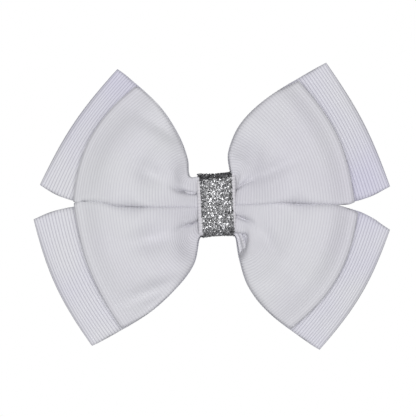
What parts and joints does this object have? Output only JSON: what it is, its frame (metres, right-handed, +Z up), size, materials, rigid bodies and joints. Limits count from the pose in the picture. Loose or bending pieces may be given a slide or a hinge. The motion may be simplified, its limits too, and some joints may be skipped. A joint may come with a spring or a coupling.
{
  "type": "hair bow",
  "caption": "Layered grosgrain ribbon hair bow with crossed loops, a glitter centre band and a sprung alligator clip behind it.",
  "frame": {"origin": "on the clip's gripping plane, right behind the centre of the bow", "axes": "+X to the right seen from the front, +Y away from the viewer towards the hair, +Z up as worn; the front faces -Y"},
  "size_m": [0.1297, 0.0331, 0.1047],
  "materials": {
    "white_ribbon": "ribbed grosgrain, soft sheen",
    "band_ribbon": "ribbed grosgrain, soft sheen",
    "silver_glitter": "coarse silver glitter flakes",
    "thread": "waxed sewing thread",
    "set_glue": "cloudy hot-melt glue",
    "lining_ribbon": "ribbed grosgrain",
    "clip_steel": "nickel plated",
    "spring_steel": "bright spring wire"
  },
  "bodies": {
    "bow": {"front_bow_falling_loop": "white_ribbon", "front_bow_rising_loop": "white_ribbon", "back_bow_falling_loop": "white_ribbon", "back_bow_rising_loop": "white_ribbon", "front_bow_thread": "thread", "back_bow_thread": "thread", "center_band": "band_ribbon", "band_seam_glue": "set_glue", "glitter_strip": "silver_glitter", "bow_glue_pad": "set_glue", "clip_glue_pad": "set_glue", "clip_lining_ribbon": "lining_ribbon", "fixed_jaw": "clip_steel", "hinge_pin": "clip_steel", "torsion_spring": "spring_steel"},
    "toothed_jaw": {"moving_jaw": "clip_steel"}
  },
  "joints": [
    {"name": "jaw_hinge", "type": "hinge", "parent": "bow", "child": "toothed_jaw", "pos_m": [0.013, 0.0032, 0], "axis": [0, 0, -1], "range_deg": [0, 28], "stiffness_Nm_per_rad": 0.06, "springref_deg": -51.57, "deforming": ["torsion_spring"]}
  ]
}
